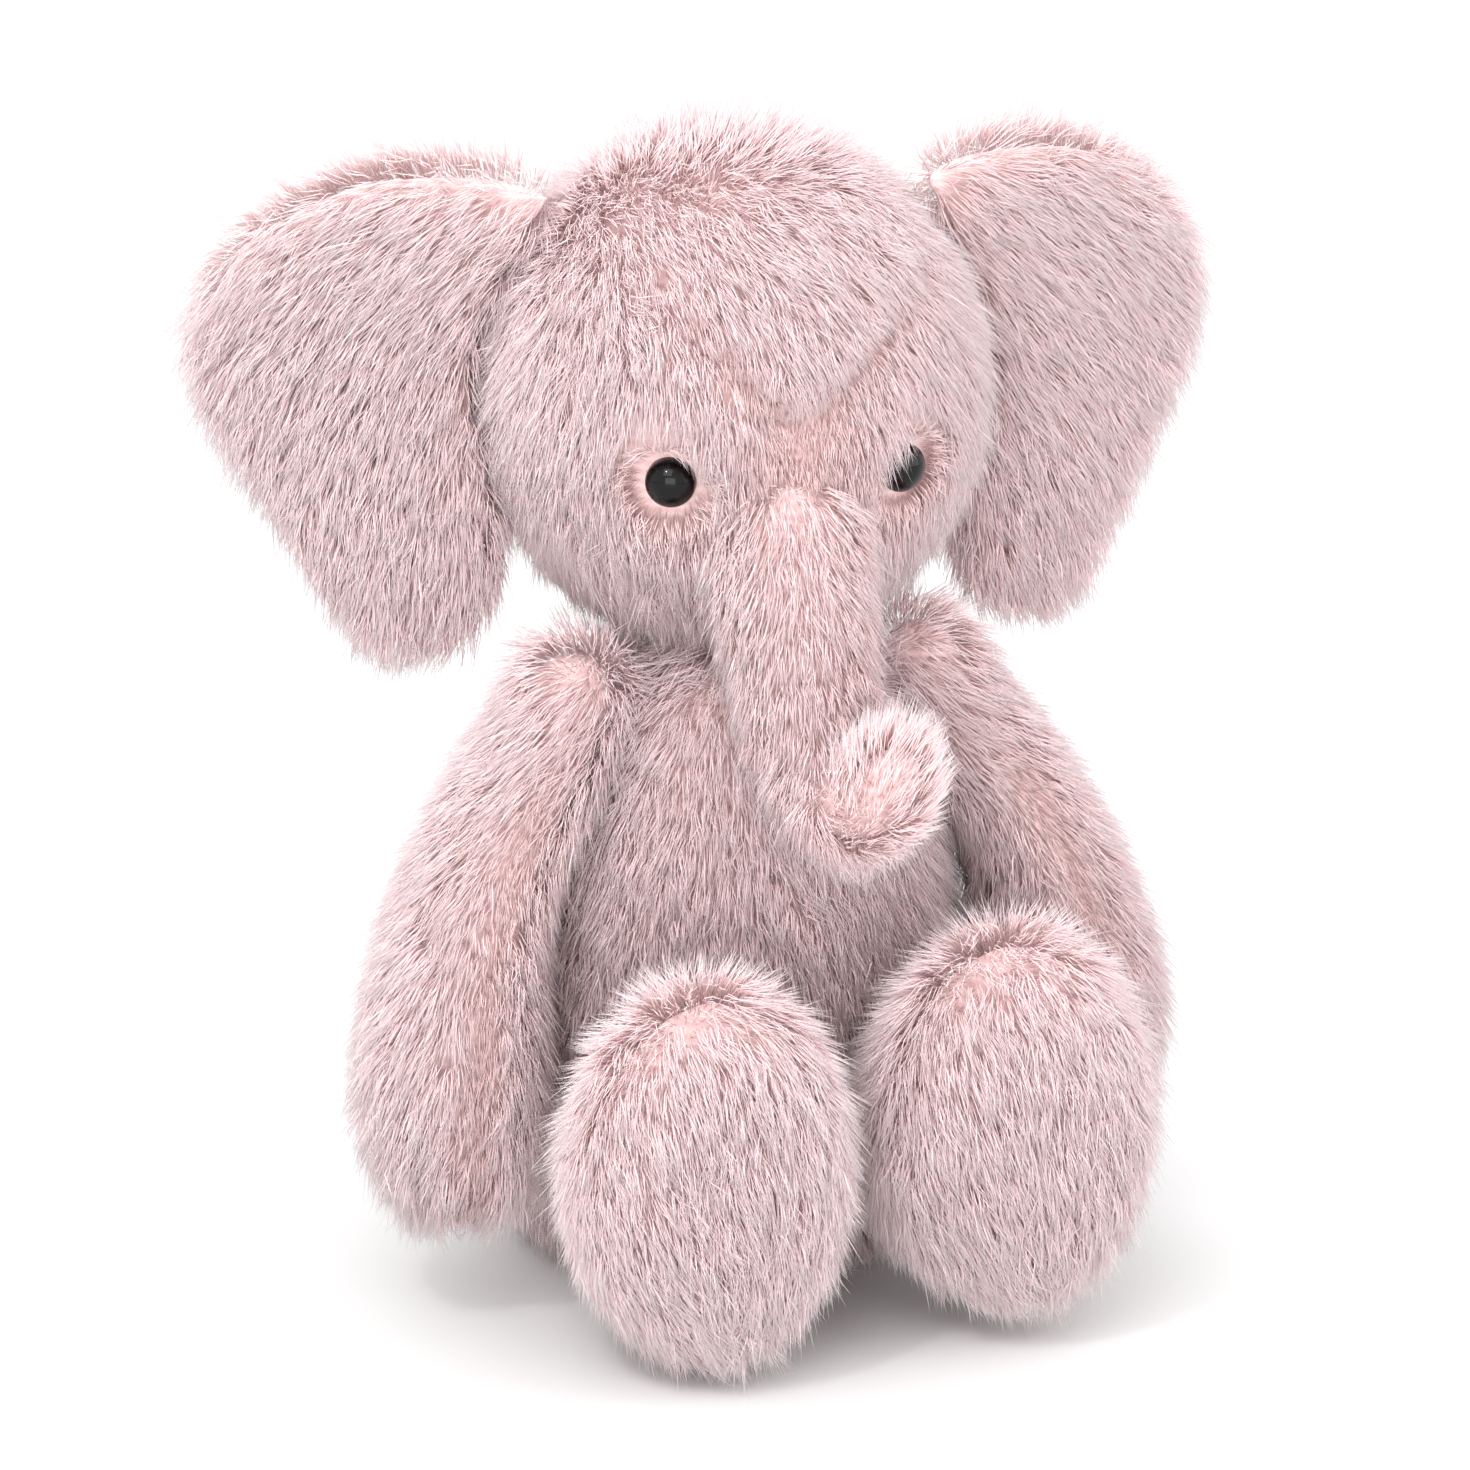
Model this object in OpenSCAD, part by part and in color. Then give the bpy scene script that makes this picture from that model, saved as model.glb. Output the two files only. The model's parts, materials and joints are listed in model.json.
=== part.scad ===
// Seated stuffed elephant, made of long-pile fabric panels over soft fillings.
// Millimetres. The toy faces -Y, +Z is up, +X is the toy's own left side.
// The origin is on the floor, under the middle of the body.

/* [Fabric] */
// Thickness of the pile fabric, its knitted back and its dense pile together
fabric_t = 5; // [3:0.5:6]
// Clearance between a filling and the fabric around it
fill_gap = 0.3; // [0.2:0.1:1]
// Clearance between soft pieces that move against each other
move_gap = 1; // [0.8:0.1:1.5]

/* [Body] */
// Widest width of the body
body_w = 116; // [104:1:124]
// Depth of the body, front to back, at its widest
body_d = 112; // [100:1:120]
// Height of the body, from the seat to the top of the shoulders
body_h = 159; // [150:1:172]
// Diameter of the flat seat
seat_d = 84; // [66:1:96]
// Diameter of the pellet bag that weighs down the seat
pellet_bag_d = 52; // [36:1:56]
// Height of the pellet bag
pellet_bag_h = 26; // [16:1:36]

/* [Head] */
// Width of the head
head_w = 118; // [106:1:128]
// Length of the head, face to back
head_len = 112; // [102:1:120]
// Height of the head
head_h = 118; // [106:1:124]
// How much fuller the cheeks are than the crown, as a share of the head's width
cheek = 0.06; // [0:0.01:0.1]
// How far the head is turned on the neck at rest, in degrees
head_turn = -5; // [-12:0.5:12]
// Angle of the gusset that runs over the crown, seen from the front, in degrees
gusset_angle = 90; // [60:30:120]
// How far the middle of the head is in front of the middle of the body
head_forward = 8; // [0:1:12]

/* [Neck] */
// Diameter of the ball of filling that joins head and body
neck_d = 34; // [26:1:40]

/* [Eyes] */
// Diameter of an eye
eye_d = 12; // [9:0.5:14]
// Distance from the middle of the face to the middle of an eye
eye_out = 29; // [25:0.5:33]
// How far the eyes are below the middle of the head
eye_drop = 15; // [8:0.5:18]
// Diameter of the lock washer behind an eye
washer_d = 15; // [12:0.5:18]

/* [Trunk] */
// Diameter of the trunk at its root
trunk_root_d = 38; // [32:1:44]
// Diameter of the trunk just before its tip
trunk_tip_d = 18; // [15:0.5:20]
// How far the trunk hangs, from its root to the middle of its bend
trunk_drop = 61; // [56:1:74]
// How far the tip points forward of the bend
trunk_reach = 24; // [20:1:30]

/* [Ears] */
// Height of an ear
ear_h = 118; // [100:1:132]
// Width of an ear, from its seam to its outer rim
ear_w = 71; // [60:1:86]
// Thickness of an ear in its middle
ear_t = 21; // [18:0.5:25]
// How far the ears are swept back from straight sideways, in degrees
ear_sweep = 30; // [10:1:36]
// How far the outer rim of an ear curls forward
ear_curl = 11; // [0:1:16]

/* [Arms] */
// Length of an arm, from its shoulder to its end
arm_len = 122; // [105:1:128]
// Diameter of an arm at the shoulder
arm_root_d = 29; // [24:1:32]
// Widest width of an arm, near its end
arm_w = 41; // [34:1:44]
// Distance from the middle of the body to each shoulder
shoulder_out = 45; // [43:1:52]

/* [Legs] */
// Distance from the middle of the body to each hip
leg_out = 27; // [26:1:32]
// Diameter of a leg where it leaves the body
leg_root_d = 46; // [40:1:50]
// Width of a foot
foot_w = 63; // [52:1:66]
// Height of a foot
foot_h = 88; // [72:1:98]
// Length of a leg, from its hip to its sole
leg_len = 80; // [68:1:92]
// How much further apart the feet are than the hips, on each side
foot_out = 12; // [8:1:18]
// How far the left and the right leg are lifted at rest, in degrees
left_lift = 8; // [0:1:12]
right_lift = 4; // [0:1:12]

/* [Tail] */
// Length of the tail
tail_len = 36; // [28:1:44]
// Diameter of the tail
tail_d = 13; // [11:0.5:16]

/* [Movement] */
// How far the trunk lifts, and how far it swings back, in degrees
trunk_raise = 55; // [30:1:60]
trunk_lower = 4; // [0:1:6]
// How far an arm lifts, and how far it swings back, in degrees
arm_raise = 74; // [40:1:80]
arm_lower = 3; // [0:1:4]
// How far outward of straight ahead an arm lifts, in degrees
arm_out = 10; // [0:1:20]
// How far a leg swings up or down, in degrees
leg_swing = 12; // [6:1:14]
// How far the tail swings to each side, in degrees
tail_swing = 30; // [10:1:40]

/* [Label] */
// Width of the folded care label
label_w = 20; // [14:1:24]
// Length of the care label outside its seam
label_len = 26; // [18:1:34]
// Thickness of the label's satin
label_t = 0.3; // [0.2:0.05:0.4]

/* [Hidden] */
// Rings drawn between two stations of a soft form
steps = 2;
// Sides drawn around a large form and around a small one
sides = 24;
small_sides = 16;
$fn = 64;

// Places that other pieces are set out from
head_z = body_h + head_h / 2 + 1;
head_y = -head_forward;
neck_z = body_h + 1;
neck_y = -head_forward;
shoulder_z = body_h * 0.92;
shoulder_y = -19;
hip_y = -body_d * 0.33;
hip_z = leg_root_d / 2 + 7;
trunk_y = -head_len * 0.36;
trunk_z = -head_h * 0.215;
ear_x = head_w / 2 + 2;
tail_y = body_d * 0.47;
tail_z = body_h * 0.37;
label_y = body_d * 0.47;
label_z = 9;
eye_y = -head_len / 2 * sqrt(1 - pow(2 * eye_out / head_w, 2) - pow(2 * eye_drop / head_h, 2));

// ---- Soft forms ----
// A station is [x, y, z, half width, half depth, tilt, curl, cheek].
// Its width lies along X. Its depth lies along Y at tilt 0 and along Z at tilt 90.
// A form runs upward at tilt 0, toward -Y at tilt 90 and downward at tilt 180.

function between(a, b, c, d, t) =
    b + 0.5 * t * ((c - a) + t * ((2 * a - 5 * b + 4 * c - d) + t * (3 * b - a - 3 * c + d)));

function squared(s) =
    [s[0], s[1], s[2], s[3] * s[3], s[4] * s[4], s[5], s[6]];

function rooted(s) =
    [s[0], s[1], s[2], sqrt(max(0, s[3])), sqrt(max(0, s[4])), s[5], s[6]];

function clamp(i, n) =
    max(0, min(n - 1, i));

// Rings along a smooth form through its stations
function smooth(st, n = steps) =
    let (q = [for (s = st) squared(s)])
    let (m = len(q))
    concat(
        [for (i = [0 : m - 2], k = [0 : n - 1])
            rooted(between(q[clamp(i - 1, m)], q[i], q[i + 1], q[clamp(i + 2, m)], k / n))],
        [st[m - 1]]
    );

// Rings of a half ball at the start of a form, up to but not including its rim
function root_dome(x, y, z, r, tilt, n = 3) =
    [for (k = [0 : n - 1])
        let (a = 90 * k / n)
        [x, y + r * cos(a) * sin(tilt), z - r * cos(a) * cos(tilt), r * sin(a), r * sin(a), tilt, 0]];

function depth_axis(s) =
    [0, cos(s[5]), sin(s[5])];

function run_axis(s) =
    [0, -sin(s[5]), cos(s[5])];

function rim(s, a) =
    let (curl = s[6] * pow((1 + cos(a)) / 2, 2))
    let (full = len(s) > 7 ? 1 - s[7] * sin(a) : 1)
    [s[0] + s[3] * full * cos(a), s[1], s[2]] + (s[4] * sin(a) + curl) * depth_axis(s);

function unit(v) =
    v / max(norm(v), 1e-9);

// Outward direction of a form at ring i and angle a
function outward(rings, i, a) =
    i == 0 ? -run_axis(rings[0]) :
    i == len(rings) - 1 ? run_axis(rings[i]) :
    let (around = rim(rings[i], a + 2) - rim(rings[i], a - 2))
    let (along = rim(rings[i + 1], a) - rim(rings[i - 1], a))
    unit(cross(around, along));

// Points of a form set in by some depth, with one point at each end
function points_of(rings, inset, angles) =
    let (m = len(rings))
    concat(
        [rim(rings[0], 0) - inset * outward(rings, 0, 0)],
        [for (i = [1 : m - 2], a = angles) rim(rings[i], a) - inset * outward(rings, i, a)],
        [rim(rings[m - 1], 0) - inset * outward(rings, m - 1, 0)]
    );

// Number of the point at ring i and column j
function at(i, j, m, c) =
    i == 0 ? 0 :
    i == m - 1 ? 1 + (m - 2) * c :
    1 + (i - 1) * c + j;

function steps_of(a0, a1, n) =
    [for (j = [0 : n]) a0 + (a1 - a0) * j / n];

// A closed soft form, set in from its rings by some depth
module form(rings, inset = 0, n = sides) {
    m = len(rings);
    angles = [for (j = [0 : n - 1]) 360 * j / n];
    faces = [for (i = [0 : m - 2], j = [0 : n - 1])
        let (p = at(i, j, m, n), q = at(i + 1, j, m, n))
        let (r = at(i + 1, (j + 1) % n, m, n), s = at(i, (j + 1) % n, m, n))
        each [if (q != r) [p, q, r], if (p != s) [p, r, s]]];
    polyhedron(points = points_of(rings, inset, angles), faces = faces, convexity = 4);
}

// One fabric panel of a soft form, between two angles, from its face in to its back.
// A thin form gives the rings of its back, because a plain offset would fold at its edges.
module panel(rings, a0, a1, t = fabric_t, n = sides, back = []) {
    m = len(rings);
    k = max(1, round(n * (a1 - a0) / 360));
    c = k + 1;
    angles = steps_of(a0, a1, k);
    face_points = points_of(rings, 0, angles);
    back_points = len(back) > 0 ? points_of(back, 0, angles) : points_of(rings, t, angles);
    o = len(face_points);
    faces = [for (i = [0 : m - 2], j = [0 : k - 1])
        let (p = at(i, j, m, c), q = at(i + 1, j, m, c))
        let (r = at(i + 1, j + 1, m, c), s = at(i, j + 1, m, c))
        each [
            if (q != r) [p, q, r],
            if (p != s) [p, r, s],
            if (q != r) [p + o, r + o, q + o],
            if (p != s) [p + o, s + o, r + o]
        ]];
    edges = [for (i = [0 : m - 2])
        let (p = at(i, 0, m, c), q = at(i + 1, 0, m, c))
        let (s = at(i, k, m, c), r = at(i + 1, k, m, c))
        each [
            [p, p + o, q + o],
            [p, q + o, q],
            [s, r, r + o],
            [s, r + o, s + o]
        ]];
    polyhedron(points = concat(face_points, back_points), faces = concat(faces, edges), convexity = 6);
}

// Turns a cut soft form into one flat-faced solid
module soft() {
    resize([0, 0, 0])
        children();
}

module both_sides() {
    for (side = [-1, 1])
        scale([side, 1, 1])
            children();
}

// Sets out a left piece, or its mirror image on the right
module on_side(left) {
    mirror([left ? 0 : 1, 0, 0])
        children();
}

module in_head() {
    translate([0, head_y, head_z])
        rotate([0, 0, head_turn])
            children();
}

// ---- Rings of each form ----
head_rings = [for (k = [0 : 14])
    let (a = 180 * k / 14)
    [0, head_len / 2 * cos(a), 0, head_w / 2 * sin(a), head_h / 2 * sin(a), 90, 0, cheek]];

body_stations = [
    [0, 0, 0, seat_d / 2, seat_d / 2, 0, 0],
    [0, 0, body_h * 0.09, body_w * 0.445, body_d * 0.45, 0, 0],
    [0, 0, body_h * 0.28, body_w * 0.5, body_d * 0.5, 0, 0],
    [0, 0, body_h * 0.48, body_w * 0.49, body_d * 0.49, 0, 0],
    [0, -3, body_h * 0.66, body_w * 0.445, body_d * 0.445, 0, 0],
    [0, -6, body_h * 0.82, body_w * 0.365, body_d * 0.365, 0, 0],
    [0, -7, body_h * 0.94, body_w * 0.245, body_d * 0.25, 0, 0],
    [0, -7, body_h, 0, 0, 0, 0]
];
body_rings = concat([[0, 0, 0, 0, 0, 0, 0]], smooth(body_stations));

bag_rings = concat(
    [[0, 0, 0, 0, 0, 0, 0]],
    smooth([
        [0, 0, 0, pellet_bag_d * 0.4, pellet_bag_d * 0.4, 0, 0],
        [0, 0, pellet_bag_h * 0.3, pellet_bag_d * 0.5, pellet_bag_d * 0.5, 0, 0],
        [0, 0, pellet_bag_h * 0.75, pellet_bag_d * 0.4, pellet_bag_d * 0.4, 0, 0],
        [0, 0, pellet_bag_h, 0, 0, 0, 0]
    ])
);

trunk_root_r = trunk_root_d / 2;
trunk_tip_r = trunk_tip_d / 2;
trunk_mid_r = (trunk_root_r + trunk_tip_r) / 2;
trunk_bend = [0, -9, -trunk_drop * 0.27];
trunk_rings = concat(
    root_dome(0, trunk_y, trunk_z, trunk_root_r, 150),
    smooth([
        [0, trunk_y, trunk_z, trunk_root_r, trunk_root_r, 150, 0],
        [0, trunk_y + trunk_bend[1], trunk_z + trunk_bend[2], trunk_root_r * 0.9, trunk_root_r * 0.88, 160, 0],
        [1, trunk_y - 14, trunk_z - trunk_drop * 0.55, trunk_root_r * 0.79, trunk_root_r * 0.77, 165, 0],
        [3, trunk_y - 18, trunk_z - trunk_drop * 0.8, trunk_mid_r * 1.02, trunk_mid_r, 150, 0],
        [6, trunk_y - 28, trunk_z - trunk_drop, trunk_mid_r * 0.94, trunk_mid_r * 0.9, 104, 0],
        [10, trunk_y - 24 - trunk_reach * 0.72, trunk_z - trunk_drop * 0.98, trunk_tip_r * 1.22, trunk_tip_r * 1.2, 58, 0],
        [13, trunk_y - 24 - trunk_reach, trunk_z - trunk_drop * 0.81, trunk_tip_r, trunk_tip_r, 26, 0],
        [14, trunk_y - 25 - trunk_reach, trunk_z - trunk_drop * 0.7, 0, 0, 10, 0]
    ])
);

// Where the side of the head is, at some height above its middle
function head_side(z) =
    head_w / 2 * sqrt(max(0, 1 - pow(2 * z / head_h, 2)));

// A station of an ear: its height and its inner and outer edges, measured from its hinge
function ear_station(z, inner, outer, thick) =
    [(inner + outer) / 2, 0, z, (outer - inner) / 2, ear_t / 2 * thick, 0, -ear_curl];

ear_up = ear_h / 118;
ear_out = ear_w / 78;
ear_seam = [for (z = [-42, -22, -2, 17, 35, 47])
    max(head_side(z * ear_up) + 2 * move_gap - ear_x, -26)];
ear_rings = smooth([
    ear_station(-62 * ear_up, 18 * ear_out, 18 * ear_out, 0),
    ear_station(-57 * ear_up, 5 * ear_out, 31 * ear_out, 0.55),
    ear_station(-42 * ear_up, -2, 42 * ear_out, 0.92),
    ear_station(-22 * ear_up, ear_seam[1], 57 * ear_out, 1),
    ear_station(-2 * ear_up, ear_seam[2], 72 * ear_out, 1),
    ear_station(17 * ear_up, ear_seam[3], 76 * ear_out, 1),
    ear_station(35 * ear_up, ear_seam[4], 66 * ear_out, 0.95),
    ear_station(48 * ear_up, ear_seam[5] + 2, 45 * ear_out, 0.7),
    ear_station(56 * ear_up, 10 * ear_out, 10 * ear_out, 0)
]);

// Rings of an ear's inside, drawn in by the fabric and by a clearance
function ear_inside(t, gap) =
    let (k = 1 - t / (59 * ear_up))
    [for (s = ear_rings)
        let (w = max(0, s[3] - min(1.3 * t, 0.6 * s[3]) - gap))
        let (d = max(0, s[4] - min(t, 0.6 * s[4]) - gap))
        [s[0], s[1], s[2] * k - 3 * ear_up * (1 - k), w, d, s[5], s[6]]];

arm_r = arm_root_d / 2;
arm_side = body_w / 2 + 1;
arm_bend = [arm_side - shoulder_out, -3, -arm_len * 0.17];
arm_rings = concat(
    root_dome(shoulder_out, shoulder_y, shoulder_z, arm_r, 180),
    smooth([
        [shoulder_out, shoulder_y, shoulder_z, arm_r, arm_r, 180, 0],
        [shoulder_out + arm_bend[0], shoulder_y + arm_bend[1], shoulder_z + arm_bend[2],
            arm_w * 0.4, arm_w * 0.42, 180, 0],
        [arm_side + 13, shoulder_y - 7, shoulder_z - arm_len * 0.35, arm_w * 0.4, arm_w * 0.46, 180, 0],
        [arm_side + 20, shoulder_y - 11, shoulder_z - arm_len * 0.54, arm_w * 0.45, arm_w * 0.51, 180, 0],
        [arm_side + 22, shoulder_y - 13, shoulder_z - arm_len * 0.73, arm_w * 0.5, arm_w * 0.54, 180, 0],
        [arm_side + 21, shoulder_y - 14, shoulder_z - arm_len * 0.9, arm_w * 0.4, arm_w * 0.43, 180, 0],
        [arm_side + 20, shoulder_y - 14, shoulder_z - arm_len, 0, 0, 180, 0]
    ])
);

leg_r = leg_root_d / 2;
leg_knee = [foot_out * 0.5, -leg_len * 0.27, 1];
leg_knee_r = leg_r * 0.86;
leg_rings = concat(
    root_dome(leg_out, hip_y, hip_z, leg_r, 90),
    smooth([
        [leg_out, hip_y, hip_z, leg_r, leg_r, 90, 0],
        [leg_out + leg_knee[0], hip_y + leg_knee[1], hip_z + leg_knee[2], leg_knee_r, leg_knee_r, 90, 0],
        [leg_out + foot_out * 0.9, hip_y - leg_len * 0.5, foot_h * 0.46, foot_w * 0.46, foot_h * 0.41, 90, 0],
        [leg_out + foot_out, hip_y - leg_len * 0.73, foot_h * 0.53, foot_w * 0.5, foot_h * 0.5, 90, 0],
        [leg_out + foot_out, hip_y - leg_len * 0.92, foot_h * 0.54, foot_w * 0.37, foot_h * 0.38, 90, 0],
        [leg_out + foot_out, hip_y - leg_len, foot_h * 0.54, 0, 0, 90, 0]
    ])
);

tail_r = tail_d / 2;
tail_bend = [0, tail_len * 0.42, -tail_len * 0.2];
tail_rings = concat(
    root_dome(0, tail_y, tail_z, tail_r, -115, 2),
    smooth([
        [0, tail_y, tail_z, tail_r, tail_r, -115, 0],
        [0, tail_y + tail_bend[1], tail_z + tail_bend[2], tail_r * 0.8, tail_r * 0.8, -125, 0],
        [0, tail_y + tail_len * 0.74, tail_z - tail_len * 0.5, tail_r * 0.75, tail_r * 0.75, -140, 0],
        [0, tail_y + tail_len * 0.84, tail_z - tail_len * 0.62, 0, 0, -145, 0]
    ])
);

// ---- Rooms for the pieces that move ----
module ball_room(p, r) {
    translate(p)
        sphere(r = r + move_gap, $fn = 32);
}

// A vector turned about an axis
function turned(v, axis, a) =
    v * cos(a) + cross(axis, v) * sin(a) + axis * (axis * v) * (1 - cos(a));

// A ball for the root of a limb, with a mouth that follows the limb's first bend as it swings
module swing_room(p, r, bend, bend_r, axis, angles) {
    hull() {
        ball_room(p, r);
        for (a = angles)
            ball_room(p + turned(bend, axis, a), bend_r);
    }
}

module neck_room() {
    ball_room([0, neck_y, neck_z], neck_d / 2);
}

module trunk_room() {
    in_head()
        swing_room([0, trunk_y, trunk_z], trunk_root_r, trunk_bend, trunk_root_r * 0.9,
            [-1, 0, 0], [-trunk_lower, 0, trunk_raise / 2, trunk_raise]);
}

arm_axis = [-cos(arm_out), -sin(arm_out), 0];

module limb_rooms() {
    both_sides() {
        swing_room([shoulder_out, shoulder_y, shoulder_z], arm_r, arm_bend, arm_w * 0.42,
            arm_axis, [-arm_lower, arm_raise / 3, arm_raise * 2 / 3, arm_raise]);
        swing_room([leg_out, hip_y, hip_z], leg_r, leg_knee, leg_knee_r,
            [-1, 0, 0], [-leg_swing, left_lift + leg_swing]);
    }
    swing_room([0, tail_y, tail_z], tail_r, tail_bend, tail_r * 0.8, [0, 0, 1], [-tail_swing, tail_swing]);
}

// Sets a piece on an eye's own axis, which looks straight out of the head
module on_eye(left) {
    n = unit([eye_out / pow(head_w / 2, 2), eye_y / pow(head_len / 2, 2), -eye_drop / pow(head_h / 2, 2)]);
    on_side(left)
        translate([eye_out, eye_y, -eye_drop])
            rotate([0, acos(n[2]), atan2(n[1], n[0])])
                children();
}

eye_sink = 2.5;
eye_flange = 1.2;
shank_d = 4;
shank_len = fabric_t - eye_sink + 6;
washer_t = 1.6;

module eye_room() {
    translate([0, 0, -eye_sink])
        cylinder(d = eye_d + 2 * fill_gap, h = 20);
    translate([0, 0, -20])
        cylinder(d = shank_d + 2 * fill_gap, h = 20);
}

// ---- Head ----
module head_panel(a0, a1) {
    color("pink")
        soft()
            difference() {
                in_head()
                    panel(head_rings, a0, a1);
                neck_room();
                trunk_room();
                in_head() {
                    on_eye(true)
                        eye_room();
                    on_eye(false)
                        eye_room();
                }
            }
}

module head_gusset() {
    head_panel(90 - gusset_angle / 2, 90 + gusset_angle / 2);
}

module head_side_left() {
    head_panel(-90, 90 - gusset_angle / 2);
}

module head_side_right() {
    head_panel(90 + gusset_angle / 2, 270);
}

module head_filling() {
    color("white")
        soft()
            difference() {
                in_head()
                    form(head_rings, fabric_t + fill_gap);
                neck_room();
                trunk_room();
                in_head()
                    for (left = [true, false])
                        on_eye(left)
                            translate([0, 0, -shank_len - eye_sink - fill_gap])
                                cylinder(d = washer_d + 2 * fill_gap, h = 30);
            }
}

module eye(left) {
    color("black")
        in_head()
            on_eye(left)
                translate([0, 0, -eye_sink]) {
                    rotate_extrude()
                        intersection() {
                            translate([0, eye_flange])
                                scale([1, 0.86])
                                    circle(d = eye_d);
                            translate([0, eye_flange])
                                square([eye_d, eye_d]);
                        }
                    cylinder(d = eye_d, h = eye_flange);
                    translate([0, 0, -shank_len])
                        cylinder(d = shank_d, h = shank_len);
                }
}

module eye_washer(left) {
    color("gainsboro")
        in_head()
            on_eye(left)
                translate([0, 0, -fabric_t - washer_t - 1])
                    difference() {
                        cylinder(d = washer_d, h = washer_t);
                        translate([0, 0, -1])
                            cylinder(d = shank_d + 0.2, h = washer_t + 2);
                    }
}

module neck_filling() {
    color("white")
        translate([0, neck_y, neck_z])
            sphere(d = neck_d);
}

// ---- Trunk ----
module trunk_panel(a0, a1) {
    color("pink")
        in_head()
            panel(trunk_rings, a0, a1, min(fabric_t, trunk_tip_r - 3), small_sides);
}

module trunk_front() {
    trunk_panel(0, 180);
}

module trunk_back() {
    trunk_panel(180, 360);
}

module trunk_filling() {
    color("white")
        in_head()
            form(trunk_rings, min(fabric_t, trunk_tip_r - 3) + fill_gap, small_sides);
}

// ---- Ears ----
ear_fabric_t = min(fabric_t, ear_t * 0.28);

module in_ear(left) {
    in_head()
        on_side(left)
            translate([ear_x, 0, 0])
                rotate([0, 0, ear_sweep])
                    children();
}

module ear_panel(left, a0, a1) {
    color("pink")
        in_ear(left)
            panel(ear_rings, a0, a1, n = small_sides, back = ear_inside(ear_fabric_t, 0));
}

module ear_filling(left) {
    color("white")
        in_ear(left)
            form(ear_inside(ear_fabric_t, fill_gap), 0, small_sides);
}

// ---- Body ----
module body_panel(a0, a1) {
    color("pink")
        soft()
            difference() {
                panel(body_rings, a0, a1);
                neck_room();
                limb_rooms();
                translate([-label_t * 2, label_y - 0.1, label_z])
                    cube([label_t * 4, label_len, label_w]);
            }
}

module body_front() {
    body_panel(180, 360);
}

module body_back_left() {
    body_panel(0, 90);
}

module body_back_right() {
    body_panel(90, 180);
}

module in_bag() {
    translate([0, body_d * 0.13, fabric_t + fill_gap])
        children();
}

module body_filling() {
    color("white")
        soft()
            difference() {
                form(body_rings, fabric_t + fill_gap);
                in_bag()
                    form(bag_rings, -fill_gap, small_sides);
                neck_room();
                limb_rooms();
            }
}

module pellet_bag() {
    color("linen")
        in_bag()
            form(bag_rings, 0, small_sides);
}

// ---- Limbs and tail ----
module arm_panel(left, a0, a1) {
    color("pink")
        on_side(left)
            panel(arm_rings, a0, a1, fabric_t, small_sides);
}

module arm_filling(left) {
    color("white")
        on_side(left)
            form(arm_rings, fabric_t + fill_gap, small_sides);
}

// Lifts a leg about its hip
module in_leg(left) {
    on_side(left)
        translate([leg_out, hip_y, hip_z])
            rotate([left ? -left_lift : -right_lift, 0, 0])
                translate([-leg_out, -hip_y, -hip_z])
                    children();
}

module leg_panel(left, a0, a1) {
    color("pink")
        in_leg(left)
            panel(leg_rings, a0, a1, fabric_t, small_sides);
}

module leg_filling(left) {
    color("white")
        in_leg(left)
            form(leg_rings, fabric_t + fill_gap, small_sides);
}

module tail() {
    color("pink")
        form(tail_rings, 0, 12);
}

// A strip of satin folded in half, standing in the seam up the back
module care_label() {
    color("white")
        translate([0, label_y, label_z])
            linear_extrude(label_w)
                difference() {
                    translate([-label_t * 2, 0])
                        square([label_t * 4, label_len]);
                    translate([-label_t, -1])
                        square([label_t * 2, label_len + 1 - label_t]);
                }
}

// ---- The pieces ----

head_gusset();
head_side_left();
head_side_right();
head_filling();
eye(true);  // eye_left
eye(false);  // eye_right
eye_washer(true);  // eye_washer_left
eye_washer(false);  // eye_washer_right
neck_filling();
trunk_front();
trunk_back();
trunk_filling();
ear_panel(true, 180, 360);  // ear_left_front
ear_panel(true, 0, 180);  // ear_left_back
ear_filling(true);  // ear_left_filling
ear_panel(false, 180, 360);  // ear_right_front
ear_panel(false, 0, 180);  // ear_right_back
ear_filling(false);  // ear_right_filling
body_front();
body_back_left();
body_back_right();
body_filling();
pellet_bag();
arm_panel(true, -90, 90);  // arm_left_outer
arm_panel(true, 90, 270);  // arm_left_inner
arm_filling(true);  // arm_left_filling
arm_panel(false, -90, 90);  // arm_right_outer
arm_panel(false, 90, 270);  // arm_right_inner
arm_filling(false);  // arm_right_filling
leg_panel(true, -90, 90);  // leg_left_outer
leg_panel(true, 90, 270);  // leg_left_inner
leg_filling(true);  // leg_left_filling
leg_panel(false, -90, 90);  // leg_right_outer
leg_panel(false, 90, 270);  // leg_right_inner
leg_filling(false);  // leg_right_filling
tail();
care_label();
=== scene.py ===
# %% [markdown]
# # A seated elephant in long pile
# A stuffed toy is a set of sewn fabric panels pulled tight over loose fibre. This lesson
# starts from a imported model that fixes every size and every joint, and gives it its looks:
# the panels' knitted backs, the pile that covers them, the eyes, the fillings and the label.
# Everything is in metres. The toy faces -Y and +Z is up.

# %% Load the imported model
import json
import math

import bmesh
import bpy
import numpy as np
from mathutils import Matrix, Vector
from mathutils.bvhtree import BVHTree
from mathutils.kdtree import KDTree


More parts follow.
